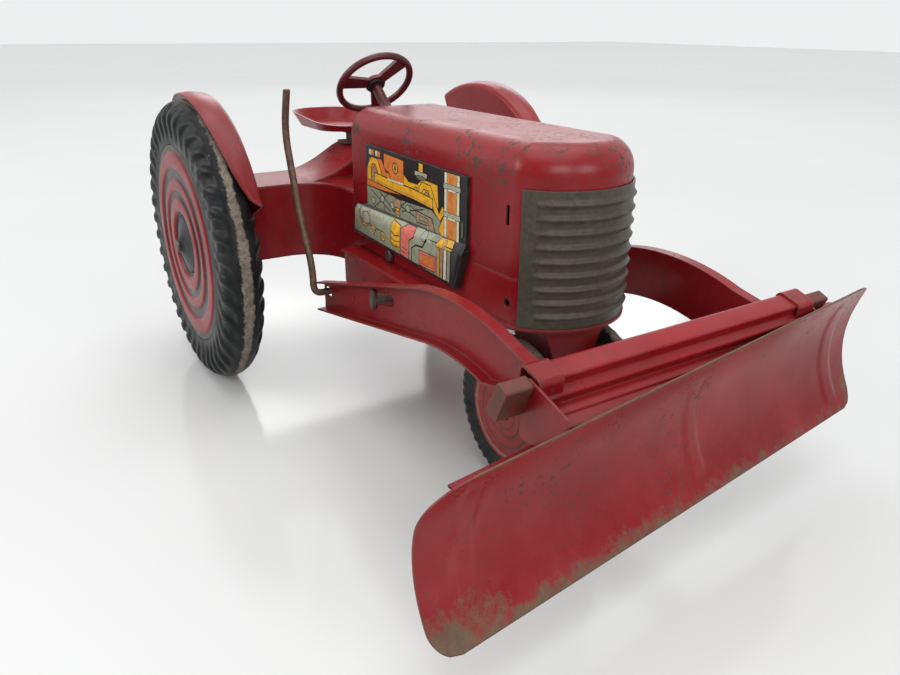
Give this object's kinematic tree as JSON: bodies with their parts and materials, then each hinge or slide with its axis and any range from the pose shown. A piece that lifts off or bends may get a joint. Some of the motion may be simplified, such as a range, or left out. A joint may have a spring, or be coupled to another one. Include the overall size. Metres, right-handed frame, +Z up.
{
  "type": "toy tractor",
  "caption": "Pressed-tin toy farm tractor with rolling wheels, a turning steering wheel, and a front dozer blade that a bent-wire lever raises and lowers",
  "frame": {"origin": "on the floor, below the middle of the toy's bounding box", "axes": "+X forward towards the blade, +Y to the driver's left, +Z up"},
  "size_m": [0.3232, 0.2168, 0.1602],
  "materials": {
    "red_body": "worn satin red enamel",
    "red_wheel_disc": "satin red enamel with dark rings",
    "black_tyre_tin": "semi-gloss black enamel on pressed tin",
    "dark_hub_steel": "dull dark grey",
    "plain_steel": "dull, tarnished brown",
    "rusty_wire": "rusted wire",
    "brown_bracket": "dull brown",
    "red_lift_steel": "worn red enamel, brown at the edges",
    "red_blade": "worn red enamel, rusted along the bottom",
    "olive_grille": "satin olive brown",
    "printed_engine": null,
    "red_steering_wheel": "satin red enamel"
  },
  "bodies": {
    "tractor": {"arm_pin_left": "plain_steel", "arm_pin_right": "plain_steel", "body_rivet_left": "plain_steel", "body_rivet_right": "plain_steel", "chassis": "red_body", "engine_panel_left": "printed_engine", "engine_panel_right": "printed_engine", "fender_left": "red_body", "fender_right": "red_body", "front_axle": "plain_steel", "front_bushes": "plain_steel", "front_pedestal": "red_body", "grille": "olive_grille", "hanger_left": "brown_bracket", "hanger_right": "brown_bracket", "hood": "red_body", "rear_axle": "plain_steel", "seat": "red_body", "seat_bracket": "brown_bracket", "steering_column": "dark_hub_steel"},
    "rear_wheel_right": {"rear_backplate_right": "red_wheel_disc", "rear_disc_right": "red_wheel_disc", "rear_hub_right": "dark_hub_steel", "rear_tyre_inner_right": "black_tyre_tin", "rear_tyre_outer_right": "black_tyre_tin"},
    "rear_wheel_left": {"rear_backplate_left": "red_wheel_disc", "rear_disc_left": "red_wheel_disc", "rear_hub_left": "dark_hub_steel", "rear_tyre_inner_left": "black_tyre_tin", "rear_tyre_outer_left": "black_tyre_tin"},
    "front_wheel_right": {"front_backplate_right": "red_wheel_disc", "front_disc_right": "red_wheel_disc", "front_tyre_inner_right": "black_tyre_tin", "front_tyre_outer_right": "black_tyre_tin"},
    "front_wheel_left": {"front_backplate_left": "red_wheel_disc", "front_disc_left": "red_wheel_disc", "front_tyre_inner_left": "black_tyre_tin", "front_tyre_outer_left": "black_tyre_tin"},
    "steering": {"steering_wheel": "red_steering_wheel", "steering_collar": "dark_hub_steel"},
    "lift_frame": {"lift_arm_left": "red_lift_steel", "lift_arm_right": "red_lift_steel", "crossbar": "red_lift_steel", "crossbar_boss_left": "red_lift_steel", "crossbar_boss_right": "red_lift_steel", "crossbar_clip_left": "red_lift_steel", "crossbar_clip_right": "red_lift_steel", "blade_gusset_left": "red_lift_steel", "blade_gusset_right": "red_lift_steel", "blade_stiffener": "red_lift_steel", "blade": "red_blade"},
    "lever": {"lift_lever": "rusty_wire"}
  },
  "joints": [
    {"name": "rear_wheel_spin_right", "type": "hinge", "parent": "tractor", "child": "rear_wheel_right", "pos_m": [-0.09217, -0.0887, 0.0694], "axis": [0, 1, 0], "continuous": true},
    {"name": "front_wheel_spin_right", "type": "hinge", "parent": "tractor", "child": "front_wheel_right", "pos_m": [0.07913, -0.0194, 0.0319], "axis": [0, 1, 0], "continuous": true},
    {"name": "rear_wheel_spin_left", "type": "hinge", "parent": "tractor", "child": "rear_wheel_left", "pos_m": [-0.09217, 0.0887, 0.0694], "axis": [0, 1, 0], "continuous": true},
    {"name": "front_wheel_spin_left", "type": "hinge", "parent": "tractor", "child": "front_wheel_left", "pos_m": [0.07913, 0.0194, 0.0319], "axis": [0, 1, 0], "continuous": true},
    {"name": "steering_turn", "type": "hinge", "parent": "tractor", "child": "steering", "pos_m": [-0.06917, 0, 0.145], "axis": [-0.7193, 0, 0.6947], "continuous": true},
    {"name": "blade_lift", "type": "hinge", "parent": "tractor", "child": "lift_frame", "pos_m": [0.02283, 0, 0.0676], "axis": [0, 1, 0], "range_deg": [-4, 7.5]},
    {"name": "lever_swing", "type": "hinge", "parent": "tractor", "child": "lever", "pos_m": [-0.00817, 0, 0.061], "axis": [0, 1, 0], "range_deg": [-12, 22]}
  ],
  "couplings": [
    {"joint": "lever_swing", "follows": "blade_lift", "ratio": 2.8}
  ]
}
